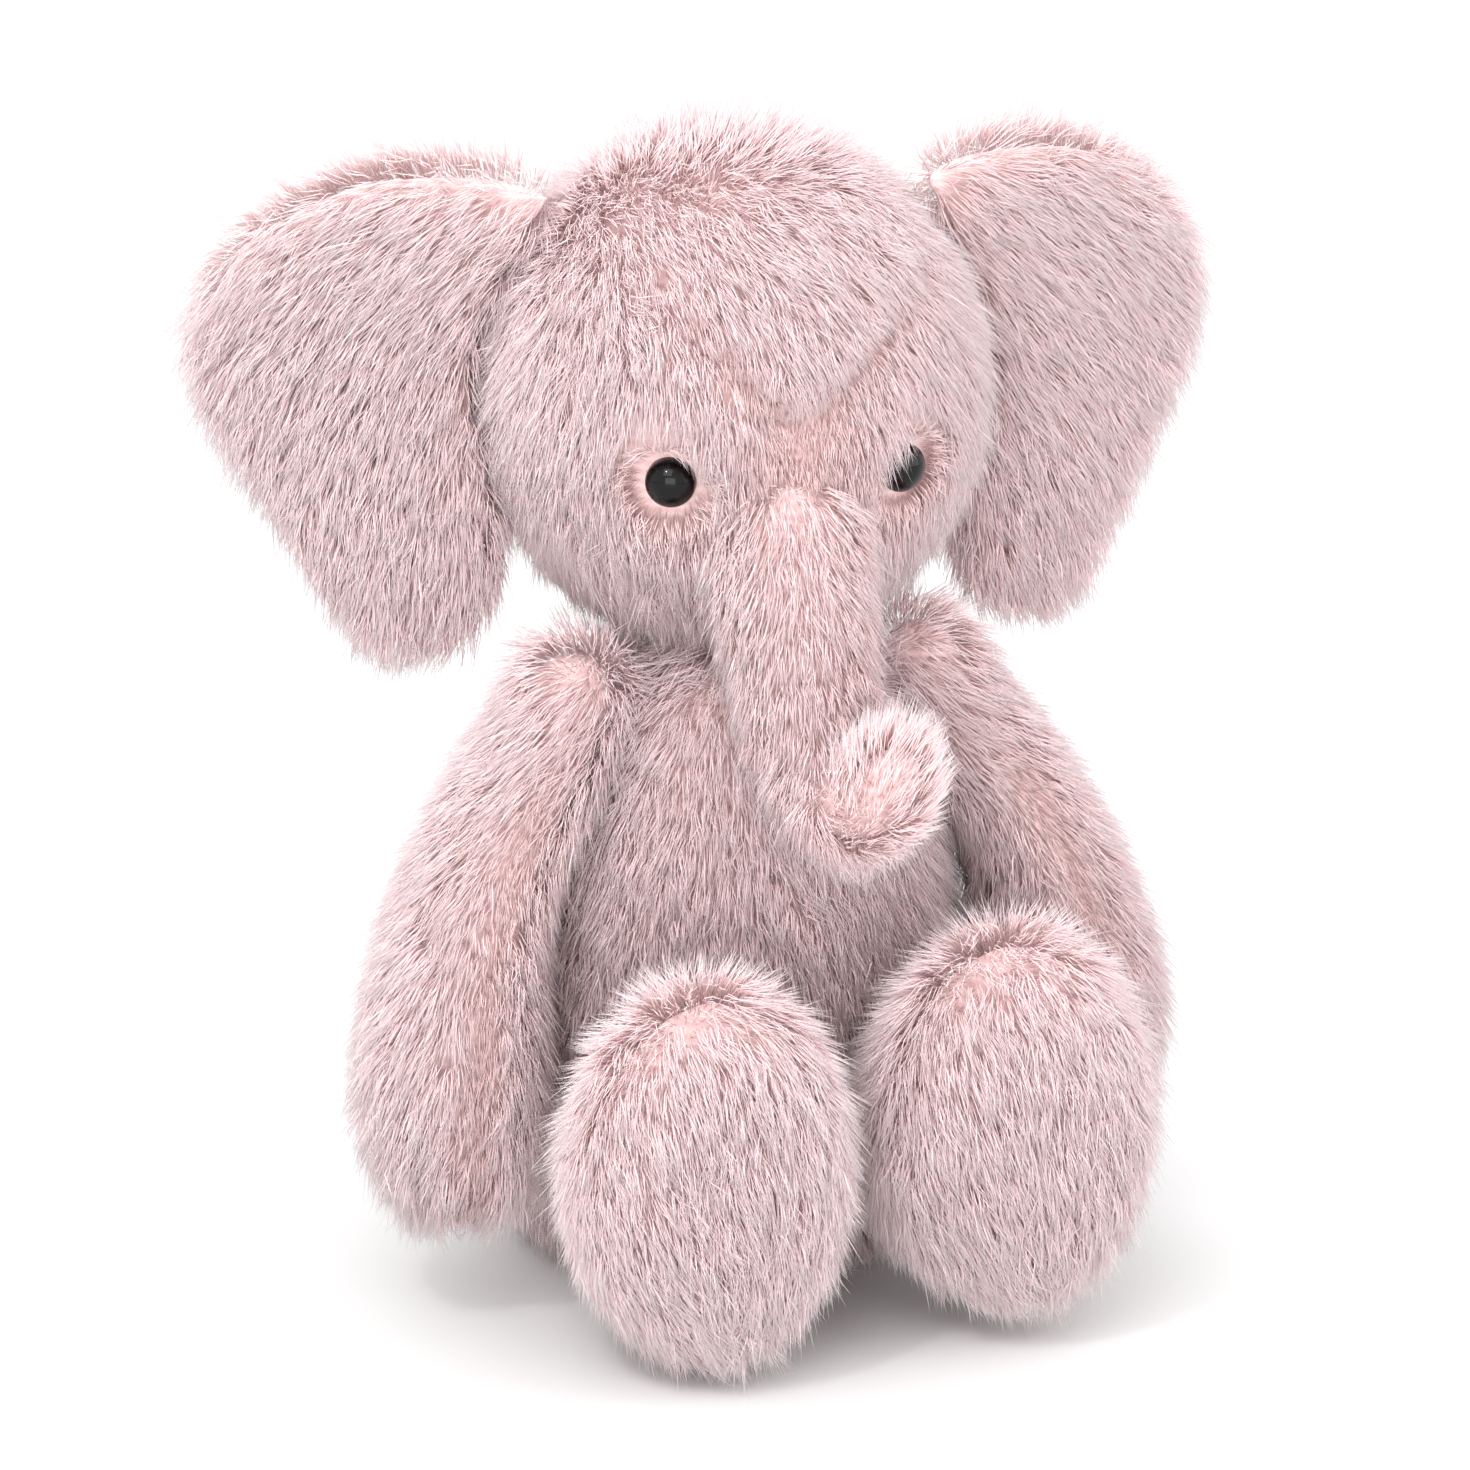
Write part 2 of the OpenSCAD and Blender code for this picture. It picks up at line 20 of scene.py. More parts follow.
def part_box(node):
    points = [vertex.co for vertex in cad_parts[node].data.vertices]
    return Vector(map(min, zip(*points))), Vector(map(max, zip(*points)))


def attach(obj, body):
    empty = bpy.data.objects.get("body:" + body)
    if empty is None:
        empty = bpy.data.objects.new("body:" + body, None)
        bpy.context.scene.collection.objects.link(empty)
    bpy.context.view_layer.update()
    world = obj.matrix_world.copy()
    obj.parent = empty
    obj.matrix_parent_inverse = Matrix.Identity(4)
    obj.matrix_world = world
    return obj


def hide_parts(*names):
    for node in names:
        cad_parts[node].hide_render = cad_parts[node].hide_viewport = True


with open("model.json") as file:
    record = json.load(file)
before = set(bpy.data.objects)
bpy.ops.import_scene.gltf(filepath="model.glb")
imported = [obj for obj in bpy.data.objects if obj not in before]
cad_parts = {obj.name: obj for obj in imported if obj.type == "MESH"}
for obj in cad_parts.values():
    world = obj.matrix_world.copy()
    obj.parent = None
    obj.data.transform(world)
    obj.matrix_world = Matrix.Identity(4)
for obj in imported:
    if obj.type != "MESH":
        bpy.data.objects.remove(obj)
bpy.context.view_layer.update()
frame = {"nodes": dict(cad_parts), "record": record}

MM = 0.001

# %% [markdown]
# ## Colours and materials
# Colours are written as sRGB hex values, the way a dye card gives them, and turned into
# linear light by one function. One small function adds a shader node and its links.

# %% Colour and node helpers


def linear(hex_colour):
    """Turns an sRGB hex colour into the linear values a shader needs."""
    values = [int(hex_colour[i:i + 2], 16) / 255 for i in (1, 3, 5)]
    return [v / 12.92 if v <= 0.04045 else ((v + 0.055) / 1.055) ** 2.4 for v in values] + [1.0]


def add_node(tree, kind, settings=None, links=None, **sockets):
    """Adds a shader node, sets its properties and sockets, and links what feeds it."""
    node = tree.nodes.new(kind)
    for name, value in (settings or {}).items():
        setattr(node, name, value)
    for name, value in sockets.items():
        node.inputs[name.replace("_", " ")].default_value = value
    for name, source in (links or {}).items():
        tree.links.new(source, node.inputs[name])
    return node


def new_material(name):
    """Makes an empty material with its output node."""
    material = bpy.data.materials.new(name)
    material.use_nodes = True
    material.node_tree.nodes.clear()
    output = add_node(material.node_tree, "ShaderNodeOutputMaterial")
    return material, material.node_tree, output


# %% [markdown]
# ### Long silky pile
# Plush this long is polyester fibre about 15 mm long, dyed pink and heat-set into soft
# clumps. An image of fur on a smooth skin would look painted, so each strand is shaded by
# itself. It carries two numbers in its UV map: v is its height above the skin, and u is its own
# shade. Along v the colour holds painted shade and light: the deeper rose low in the pile is
# painted shade from light that has passed through many dyed fibres, and the pale, silky tips
# are painted light, so short strands stay rosy. A little subsurface light stands for the light that real
# fibres let through.

# %% Make the pile material


def pile_material():
    """Silky polyester pile: soft sheen, painted shade at the roots and painted light at the pale tips."""
    material, tree, output = new_material("silky_polyester_pile")
    uv = add_node(tree, "ShaderNodeUVMap", {"uv_map": "OFBake"})
    parts = add_node(tree, "ShaderNodeSeparateXYZ", links={"Vector": uv.outputs["UV"]})
    # Root-to-tip ramp: painted shade deep in the pile, painted light at the pale tips
    along = add_node(tree, "ShaderNodeValToRGB", links={"Fac": parts.outputs["Y"]})
    painted_shade_ramp = along.color_ramp
    painted_shade_ramp.elements[0].color = linear("#ecc3c0")
    painted_shade_ramp.elements[1].color = linear("#f9e8eb")
    for place, shade in ((0.3, "#f3d2d2"), (0.6, "#f7dde0")):
        painted_shade_ramp.elements.new(place).color = linear(shade)
    own = add_node(tree, "ShaderNodeValToRGB", links={"Fac": parts.outputs["X"]})
    own.color_ramp.elements[0].color = linear("#f2ecec")
    own.color_ramp.elements[1].color = linear("#ffffff")
    both = add_node(
        tree, "ShaderNodeMix", {"data_type": "RGBA", "blend_type": "MULTIPLY"}
    )
    both.inputs["Factor"].default_value = 1.0
    tree.links.new(along.outputs["Color"], both.inputs["A"])
    tree.links.new(own.outputs["Color"], both.inputs["B"])
    fibre = add_node(
        tree,
        "ShaderNodeBsdfPrincipled",
        links={"Base Color": both.outputs["Result"]},
        Roughness=0.55,
        IOR=1.5,
        Sheen_Weight=0.25,
        Sheen_Roughness=0.4,
        Subsurface_Weight=0.35,
        Subsurface_Radius=(1.0, 0.85, 0.85),
        Subsurface_Scale=0.4 * MM,
    )
    tree.links.new(fibre.outputs["BSDF"], output.inputs["Surface"])
    return material


pile = pile_material()
print("made", pile.name)

# %% [markdown]
# ### Knitted back, fibre, bead and ribbon
# Where the pile parts, the knitted back shows. It is the same dye on a matt knit, so it
# reads rosier. A wave texture gives its rows of loops. The other finishes share one recipe,
# two close shades mixed by a noise texture: loose white fibre, a polished black eye, a
# moulded washer, cotton and satin ribbon. The eye's near-mirror polish gives its one small
# highlight.

# %% Make the other materials

LOOP_ROW = 1.2 * MM  # from one row of loops to the next
LOOP_HEIGHT = 0.3 * MM


def knit_material():
    """Warp-knitted polyester back: matt rows of small loops between the strands."""
    material, tree, output = new_material("knitted_pile_back")
    place = add_node(tree, "ShaderNodeTexCoord")
    rows = add_node(
        tree,
        "ShaderNodeTexWave",
        {"wave_type": "BANDS", "bands_direction": "Z"},
        {"Vector": place.outputs["Object"]},
        Scale=1 / LOOP_ROW / (2 * math.pi),
        Distortion=2.0,
        Detail=2.0,
    )
    shade = add_node(tree, "ShaderNodeValToRGB", links={"Fac": rows.outputs["Fac"]})
    shade.color_ramp.elements[0].color = linear("#e6c2c1")
    shade.color_ramp.elements[1].color = linear("#f0d2d1")
    bump = add_node(
        tree, "ShaderNodeBump", links={"Height": rows.outputs["Fac"]}, Strength=0.4, Distance=LOOP_HEIGHT
    )
    cloth = add_node(
        tree,
        "ShaderNodeBsdfPrincipled",
        links={"Base Color": shade.outputs["Color"], "Normal": bump.outputs["Normal"]},
        Roughness=0.9,
        Sheen_Weight=0.3,
    )
    tree.links.new(cloth.outputs["BSDF"], output.inputs["Surface"])
    return material


def mottled_material(name, dark, light, size_mm, roughness, bump_mm=0.0, **sockets):
    """A finish whose colour and height vary over patches of one size."""
    material, tree, output = new_material(name)
    place = add_node(tree, "ShaderNodeTexCoord")
    noise = add_node(
        tree,
        "ShaderNodeTexNoise",
        links={"Vector": place.outputs["Object"]},
        Scale=1 / (size_mm * MM),
        Detail=4.0,
    )
    shade = add_node(tree, "ShaderNodeValToRGB", links={"Fac": noise.outputs["Fac"]})
    shade.color_ramp.elements[0].position = 0.3
    shade.color_ramp.elements[1].position = 0.7
    shade.color_ramp.elements[0].color = linear(dark)
    shade.color_ramp.elements[1].color = linear(light)
    bump = add_node(
        tree, "ShaderNodeBump", links={"Height": noise.outputs["Fac"]}, Strength=0.5, Distance=bump_mm * MM
    )
    surface = add_node(
        tree,
        "ShaderNodeBsdfPrincipled",
        links={"Base Color": shade.outputs["Color"], "Normal": bump.outputs["Normal"]},
        Roughness=roughness,
        **sockets,
    )
    tree.links.new(surface.outputs["BSDF"], output.inputs["Surface"])
    return material


knit = knit_material()
fibre = mottled_material("loose_polyester_fibre", "#d8d8d4", "#f6f6f2", 3.0, 0.9, 1.5, Sheen_Weight=0.4)
bead = mottled_material(
    "polished_black_acrylic", "#060404", "#0d0909", 8.0, 0.08, 0.0, IOR=1.49, Specular_IOR_Level=0.25
)
washer = mottled_material("moulded_nylon_washer", "#c9c8c2", "#d9d8d3", 2.0, 0.45, 0.05, IOR=1.53)
cotton = mottled_material("unbleached_cotton_bag", "#c9bfa8", "#ddd4c0", 0.8, 0.9, 0.2, Sheen_Weight=0.2)
satin = mottled_material("white_satin_ribbon", "#e8e6e4", "#f7f6f5", 0.4, 0.35, 0.03, Sheen_Weight=0.3)
print("made", [m.name for m in (knit, fibre, bead, washer, cotton, satin)])

# %% [markdown]
# ## Small mesh tools
# Long pile needs a great many points, and Python is slow one point at a time. These helpers
# move whole meshes in and out of arrays with foreach_get, and look up the nearest face with
# a BVH tree.

# %% Read points and faces out of meshes


def points_of(mesh):
    """A mesh's points as an array."""
    p = np.empty(len(mesh.vertices) * 3)
    mesh.vertices.foreach_get("co", p)
    return p.reshape(-1, 3)


def triangles_of(mesh):
    """A mesh's triangles as an array of point numbers."""
    mesh.calc_loop_triangles()
    t = np.empty(len(mesh.loop_triangles) * 3, dtype=np.int32)
    mesh.loop_triangles.foreach_get("vertices", t)
    return t.reshape(-1, 3)


def normals_of(mesh):
    """A mesh's point normals as an array."""
    n = np.empty(len(mesh.vertices) * 3)
    mesh.vertex_normals.foreach_get("vector", n)
    return n.reshape(-1, 3)


def tree_of(mesh):
    """A search tree over a mesh's triangles."""
    return BVHTree.FromPolygons(points_of(mesh).tolist(), triangles_of(mesh).tolist())


# %% Add objects and apply their modifiers


def evaluated_mesh(obj):
    """A plain copy of an object's mesh with its modifiers applied."""
    graph = bpy.context.evaluated_depsgraph_get()
    return bpy.data.meshes.new_from_object(obj.evaluated_get(graph))


def add_object(name, mesh):
    """Links a mesh into the scene as an object."""
    obj = bpy.data.objects.new(name, mesh)
    bpy.context.scene.collection.objects.link(obj)
    return obj


def use_modifiers(obj):
    """Applies every modifier of an object to its mesh."""
    mesh = evaluated_mesh(obj)
    obj.modifiers.clear()
    obj.data = mesh
    return obj


# %% Join solids and keep the biggest part


def joined(name, meshes):
    """One new object holding copies of several meshes."""
    points, faces, start = [], [], 0
    for mesh in meshes:
        p, t = points_of(mesh), triangles_of(mesh)
        points.append(p)
        faces.append(t + start)
        start += len(p)
    mesh = bpy.data.meshes.new(name)
    mesh.from_pydata(np.vstack(points).tolist(), [], np.vstack(faces).tolist())
    return add_object(name, mesh)


def keep_largest(obj):
    """Drops every loose part of a mesh but the largest."""
    work = bmesh.new()
    work.from_mesh(obj.data)
    seen, parts = set(), []
    for first in work.verts:
        if first in seen:
            continue
        part, front = [], [first]
        seen.add(first)
        while front:
            v = front.pop()
            part.append(v)
            for e in v.link_edges:
                o = e.other_vert(v)
                if o not in seen:
                    seen.add(o)
                    front.append(o)
        parts.append(part)
    parts.sort(key=len)
    for part in parts[:-1]:
        bmesh.ops.delete(work, geom=part, context="VERTS")
    work.to_mesh(obj.data)
    work.free()


def add_ball(place, radius):
    """A ball that fills the room around a joint, so that no gap opens in the skin."""
    work = bmesh.new()
    bmesh.ops.create_icosphere(work, subdivisions=3, radius=radius)
    bmesh.ops.translate(work, verts=work.verts, vec=place)
    mesh = bpy.data.meshes.new("ball")
    work.to_mesh(mesh)
    work.free()
    return mesh


# %% Relax a mesh and draw a skin over solids


def smoothed(obj, times):
    """Relaxes a mesh a number of times."""
    smooth = obj.modifiers.new("smooth", "SMOOTH")
    smooth.factor = 0.5
    smooth.iterations = times
    return use_modifiers(obj)


def tight_skin(name, meshes, voxel, inset):
    """Joins solids into one rounded skin, drawn in by some depth."""
    obj = joined(name, meshes)
    remesh = obj.modifiers.new("remesh", "REMESH")
    remesh.mode = "VOXEL"
    remesh.voxel_size = voxel * MM
    use_modifiers(obj)
    keep_largest(obj)
    smoothed(obj, 8)
    if inset:
        p = points_of(obj.data)
        obj.data.vertices.foreach_set("co", (p - normals_of(obj.data) * inset * MM).ravel())
        obj.data.update()
        smoothed(obj, 4)
    return obj


# %% [markdown]
# ## The stuffed forms
# A stuffed form is one closed, tight bag: the head, the body, the trunk, each ear and each
# limb. Modelling every panel by hand would leave cracks at the seams. Instead a form's panels
# and filling are joined and remeshed into one skin, which is drawn in to the depth of the
# knitted back. At every joint but the ears', a ball lets the skin go on inside its neighbour,
# to keep a gap from opening when the joint turns.

# %% Name the forms and their panels

joints = {j["child"]: j for j in frame["record"]["behaviour"]["joints"]}


def pivot(body):
    """Where a body turns, in metres."""
    return Vector(joints[body]["pos_m"])


# voxel and inset are in mm, and so is the radius of the ball that fills each joint's room
FORMS = {
    "body": dict(body="torso", panels=["body_front", "body_back_left", "body_back_right"],
                 filling="body_filling", voxel=4.0, inset=3.0,
                 rooms=[("arm_left", 13), ("arm_right", 13), ("leg_left", 21), ("leg_right", 21),
                        ("tail", 6), ("neck", 16)]),
    "head": dict(body="head", panels=["head_gusset", "head_side_left", "head_side_right"],
                 filling="head_filling", voxel=3.5, inset=3.0,
                 rooms=[("trunk", 18), ("head", 16)]),
    "trunk": dict(body="trunk", panels=["trunk_front", "trunk_back"],
                  filling="trunk_filling", voxel=2.0, inset=2.5),
}
for side in ("left", "right"):
    FORMS["ear_" + side] = dict(
        body="ear_" + side, panels=[f"ear_{side}_front", f"ear_{side}_back"],
        filling=f"ear_{side}_filling", voxel=2.5, inset=2.5)
    for limb in ("arm", "leg"):
        FORMS[f"{limb}_{side}"] = dict(
            body=f"{limb}_{side}", panels=[f"{limb}_{side}_outer", f"{limb}_{side}_inner"],
            filling=f"{limb}_{side}_filling", voxel=3.0, inset=3.0)
FORMS["tail"] = dict(body="tail", panels=["tail"], filling=None, voxel=1.5, inset=2.5)
print("forms", list(FORMS))

# %% [markdown]
# ### Tight cloth
# Filling pushes each panel out between its seams, which barely move. A cloth simulation can
# do the same: pressure inside, no gravity, and the points along the seams held still. On
# forms this small it moves the skins by well under a millimetre, as the print shows, so it
# adds no crown that can be seen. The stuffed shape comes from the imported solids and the
# remeshing.

# %% Settle the skins

CLOTH_PRESSURE = 4.0
CLOTH_STEPS = 20
SEAM_HOLD = 2.5 * MM  # points this near a seam don't move
MOST_MOVE = 2.0 * MM  # no point moves further than this
NO_SEAM = 1.0  # the distance to a seam on a form that has none


def panel_of(form, mesh):
    """The panel that each point of a skin is on, and how far it is from the next panel."""
    away = np.array([
        [panel_trees[node].find_nearest(Vector(p))[3] for p in points_of(mesh)]
        for node in form["panels"]
    ])
    near = np.sort(away, axis=0)
    seam = near[1] - near[0] if len(away) > 1 else np.full(away.shape[1], NO_SEAM)
    return away.argmin(axis=0), seam


def settle(obj, form):
    """Settles a skin under cloth pressure, with its seams held and its movement capped."""
    before = points_of(obj.data)
    _, seam = panel_of(form, obj.data)
    held = obj.vertex_groups.new(name="held")
    for i in np.nonzero(seam < SEAM_HOLD)[0]:
        held.add([int(i)], 1.0, "REPLACE")
    held.add([0], 1.0, "REPLACE")
    cloth = obj.modifiers.new("cloth", "CLOTH")
    cloth.settings.uniform_pressure_force = CLOTH_PRESSURE
    cloth.settings.use_pressure = True
    cloth.settings.vertex_group_mass = "held"
    cloth.settings.effector_weights.gravity = 0.0
    cloth.settings.tension_stiffness = 40.0
    cloth.settings.quality = 4
    for step in range(1, CLOTH_STEPS + 1):
        bpy.context.scene.frame_set(step)
    mesh = evaluated_mesh(obj)
    moved = points_of(mesh) - before
    far = np.linalg.norm(moved, axis=1, keepdims=True)
    print("cloth moved", obj.name, "at most", round(float(far.max()) / MM, 3), "mm")
    moved *= np.minimum(1.0, MOST_MOVE / np.maximum(far, 1e-9))
    obj.modifiers.clear()
    obj.vertex_groups.clear()
    obj.data.vertices.foreach_set("co", (before + moved).ravel())
    obj.data.update()
    return smoothed(obj, 2)


panel_trees = {}
for form in FORMS.values():
    for node in form["panels"]:
        panel_trees[node] = tree_of(frame["nodes"][node].data)

skins = {}
for name, form in FORMS.items():
    parts = form["panels"] + ([form["filling"]] if form["filling"] else [])
    parts += ["eye_left", "eye_right"] if name == "head" else []
    meshes = [frame["nodes"][n].data for n in parts]
    meshes += [add_ball(pivot(room), radius * MM) for room, radius in form.get("rooms", [])]
    skin = tight_skin(name + "_skin", meshes, form["voxel"], form["inset"])
    if name != "tail":
        settle(skin, form)
    skins[name] = skin
bpy.context.scene.frame_set(1)
print("skins", {k: len(v.data.vertices) for k, v in skins.items()})

# %% [markdown]
# ### Fillings
# Inside each form is loose polyester fibre, packed by hand, so its surface is lumpy.

# %% Make the fillings


def lumpy(name, mesh, voxel, lump_mm, depth_mm, finish, seed):
    """A remeshed copy of a solid whose surface is pushed in by soft lumps."""
    obj = joined(name, [mesh])
    remesh = obj.modifiers.new("remesh", "REMESH")
    remesh.mode = "VOXEL"
    remesh.voxel_size = voxel * MM
    use_modifiers(obj)
    smoothed(obj, 3)
    p, n = points_of(obj.data), normals_of(obj.data)
    waves = np.random.default_rng(seed).normal(0, 2 * math.pi / (lump_mm * MM), (6, 3))
    depth = np.mean([np.sin(p @ w) for w in waves], axis=0) * 0.5 + 0.5
    obj.data.vertices.foreach_set("co", (p - n * (depth * depth_mm * MM)[:, None]).ravel())
    obj.data.polygons.foreach_set("use_smooth", np.ones(len(obj.data.polygons), dtype=bool))
    obj.data.materials.clear()
    obj.data.materials.append(finish)
    obj.data.update()
    return obj


for seed, (name, form) in enumerate(FORMS.items()):
    if form["filling"]:
        node = form["filling"]
        stuffing = lumpy(node + "_fibre", frame["nodes"][node].data, 4.0, 26, 2.5, fibre, seed)
        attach(stuffing, form["body"])
        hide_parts(node)

neck = lumpy("neck_fibre", frame["nodes"]["neck_filling"].data, 2.5, 14, 1.0, fibre, 50)
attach(neck, "neck")
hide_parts("neck_filling")

bag = lumpy("pellet_bag_cotton", frame["nodes"]["pellet_bag"].data, 2.0, 5, 0.8, cotton, 51)
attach(bag, "torso")
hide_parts("pellet_bag")
print("fillings made")

# %% [markdown]
# ## The pile
# The pile is what the eye sees of this toy. Hair particles would be lost when the model is
# exported, so each strand is real mesh: a closed, three-sided spindle with a bend in it.
# Roots are scattered evenly over the skin, each strand leaves its root at an angle, bends
# along the nap, and leans towards the strand in the middle of its clump.

# %% Scatter roots and make strands

BEND_AT = 0.45  # how far up a strand its bend is, as a share of its length


def scatter(obj, count, rng):
    """Random places spread evenly over a skin, with their normals."""
    p, t = points_of(obj.data), triangles_of(obj.data)
    n = normals_of(obj.data)
    a, b, c = p[t[:, 0]], p[t[:, 1]], p[t[:, 2]]
    size = np.linalg.norm(np.cross(b - a, c - a), axis=1)
    pick = rng.choice(len(t), count, p=size / size.sum())
    u, v = rng.random((2, count, 1))
    u, v = np.where(u + v > 1, 1 - u, u), np.where(u + v > 1, 1 - v, v)
    at = a[pick] + u * (b[pick] - a[pick]) + v * (c[pick] - a[pick])
    up = n[t[pick, 0]] * (1 - u - v) + n[t[pick, 1]] * u + n[t[pick, 2]] * v
    return at, unit(up)


def unit(v):
    """Vectors scaled to length one."""
    return v / np.maximum(np.linalg.norm(v, axis=-1, keepdims=True), 1e-9)


def strand_mesh(name, root, bend, tip, radius, shade, share):
    """Closed spindles: a point at the root, a triangle at the bend and a point at the tip."""
    count = len(root)
    along = unit(tip - root)
    side = unit(np.cross(along, [0.31, 0.57, 0.76]))
    other = np.cross(along, side)
    turns = [(math.cos(a), math.sin(a)) for a in (0.0, 2.094, 4.189)]
    ring = [bend + (side * c + other * s) * radius[:, None] for c, s in turns]
    points = np.stack([root] + ring + [tip], axis=1).reshape(-1, 3)
    one = np.array([[0, 2, 1], [0, 3, 2], [0, 1, 3], [1, 2, 4], [2, 3, 4], [3, 1, 4]])
    faces = (one[None] + 5 * np.arange(count)[:, None, None]).reshape(-1, 3)
    mesh = bpy.data.meshes.new(name)
    mesh.vertices.add(len(points))
    mesh.loops.add(faces.size)
    mesh.polygons.add(len(faces))
    mesh.vertices.foreach_set("co", points.ravel())
    mesh.loops.foreach_set("vertex_index", faces.ravel())
    mesh.polygons.foreach_set("loop_start", np.arange(0, faces.size, 3))
    mesh.polygons.foreach_set("use_smooth", np.ones(len(faces), dtype=bool))
    height = np.array([0.02, BEND_AT, BEND_AT, BEND_AT, 0.98])
    uv = np.empty((faces.size, 2))
    uv[:, 0] = np.repeat(shade, 18)
    # v sets the painted shade and light: rosy low in the pile, pale at the tips, capped by a strand's
    # length
    uv[:, 1] = height[faces.ravel() % 5] * np.repeat(np.clip(share, 0.5, 1.0), 18)
    mesh.uv_layers.new(name="OFBake").data.foreach_set("uv", uv.ravel())
    mesh.update()
    mesh.validate()
    return mesh


# %% [markdown]
# ### Combing
# Pile has a nap, the way it was brushed. On this toy it runs down the face, outwards over the
# shoulders and ears, and forwards over the legs and down the soles. Around each eye it is
# trimmed and leans away. It is a direction for each root, laid flat on the skin.

# %% Place the landmarks that the combing uses

DENSITY = 1.6  # strands on each square millimetre of skin
LIMIT = 33000  # strands on one panel; six faces each keep a piece under 200,000 faces
PILE_LENGTH = 16.5 * MM
STRAND_RADIUS = 0.16 * MM
EYE_RADIUS = 6 * MM
CLUMP = 18  # strands in a clump
WANDER = 0.16  # how far a strand strays from the nap
rng = np.random.default_rng(20)
# How far the pile stands up where it faces the sky
STANDS = {"ear_left": 1.0, "ear_right": 1.0, "head": 0.8, "leg_left": 0.15, "leg_right": 0.15, "trunk": 0.6}

# The pile is shorter along these seams, where the sewing pulled it in
SHORT_SEAMS = ("head", "arm_left", "arm_right")


def middle_of(node):
    """The middle of a node's box."""
    lo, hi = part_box(node)
    return (Vector(lo) + Vector(hi)) / 2


eyes = [middle_of("eye_left"), middle_of("eye_right")]
eye_stems = [middle_of("eye_washer_left"), middle_of("eye_washer_right")]
head_middle = np.array(middle_of("head_filling"))
collar = np.array(pivot("neck"))
brow = np.array(pivot("trunk")) + [0, -10 * MM, 22 * MM]
between_eyes = (np.array(eyes[0]) + np.array(eyes[1])) / 2 + [0, -5 * MM, 8 * MM]
print("between the eyes", between_eyes.round(4))

# %% Comb each form


def blend_to(a, b, share):
    """Mixes two sets of directions, with a share of the second one."""
    share = np.clip(share, 0, 1)[:, None]
    return unit(a * (1 - share) + b * share)


def nap(name, at):
    """Which way the pile lies at each place. A short direction lets it stand."""
    down = np.tile([0.0, -0.1, -1.0], (len(at), 1))
    if name == "head":
        lie = blend_to(down, np.tile([0.3, -0.3, -1.0], (len(at), 1)), (at[:, 2] - brow[2]) / 0.03)
        crown = np.clip((at[:, 2] - head_middle[2] - 0.025) / 0.025, 0, 1)
        crown *= np.clip((head_middle[1] + 0.02 - at[:, 1]) / 0.02, 0, 1)
        lie = blend_to(lie, np.tile([0.2, -1.0, -0.45], (len(at), 1)), crown)
        for eye in eyes:
            apart = at - np.array(eye)
            near = np.linalg.norm(apart, axis=1)
            share = np.clip((11 * MM - near) / (4 * MM), 0, 1)[:, None]
            lie = lie * (1 - share) + unit(apart) * 0.8 * share
        return lie
    if name == "body":
        return blend_to(down, unit(at - collar), (at[:, 2] - collar[2] + 0.05) / 0.03)
    if name == "trunk":
        lo, _ = box_of(FORMS[name]["panels"])
        curl = blend_to(down, np.tile([0.05, -0.35, 1.0], (len(at), 1)), (lo[1] + 0.026 - at[:, 1]) / 0.018)
        near = np.linalg.norm(trunk_end - at, axis=1)
        return blend_to(curl, np.tile([0.25, -0.3, 0.9], (len(at), 1)), (24 * MM - near) / (8 * MM))
    if name.startswith("arm"):
        out = 1 if name.endswith("left") else -1
        hang = np.tile(unit(np.array([0.3 * out, -0.1, -1.0])), (len(at), 1))
        over = np.tile([0.8 * out, -0.3, -0.6], (len(at), 1))
        return blend_to(hang, over, (at[:, 2] - collar[2] + 0.06) / 0.03)
    if name.startswith("leg"):
        # over the top of the leg, round the edge of the foot and down its sole
        return np.tile([0.0, -0.75, -0.8], (len(at), 1))
    if name.startswith("ear"):
        lo, hi = box_of(FORMS[name]["panels"])
        out = 1 if name.endswith("left") else -1
        low = np.tile([0.2 * out, -0.1, -0.95], (len(at), 1))
        high = np.tile([0.75 * out, -0.1, -0.45], (len(at), 1))
        return blend_to(low, high, (at[:, 2] - lo[2]) / (hi[2] - lo[2]) * 1.6 - 0.5)
    if name == "tail":
        return unit(at - np.array(pivot("tail")))
    return down


def box_of(nodes):
    """The box around several nodes."""
    boxes = [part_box(n) for n in nodes]
    lo = np.min([np.array(b[0]) for b in boxes], axis=0)
    return lo, np.max([np.array(b[1]) for b in boxes], axis=0)


def inside(tree, point, depth):
    """Whether a point is inside a closed skin, or outside it by less than some depth."""
    near, normal, _, apart = tree.find_nearest(point)
    return (point - near).dot(normal) < 0 or apart < depth


# %% [markdown]
# ### Growing
# Roots that another form covers are left out. The pile is shorter at the seams that pull it
# in and round the eyes. Where the toy sits, its pile is pressed flat on the floor.

# %% Find what covers each form

NEIGHBOURS = {
    "trunk": ["head"], "tail": ["body"],
    "arm_left": ["body"], "arm_right": ["body"], "leg_left": ["body"], "leg_right": ["body"],
    "ear_left": ["head"], "ear_right": ["head"],
    "head": ["trunk"], "body": ["arm_left", "arm_right", "leg_left", "leg_right"],
}
skin_trees = {name: tree_of(obj.data) for name, obj in skins.items()}
curled = points_of(skins["trunk"].data)
curled = curled[curled[:, 1] < curled[:, 1].min() + 16 * MM]
trunk_end = curled[curled[:, 2] > np.quantile(curled[:, 2], 0.85)].mean(axis=0)
print("trunk end", trunk_end.round(4))

# %% Grow the pile


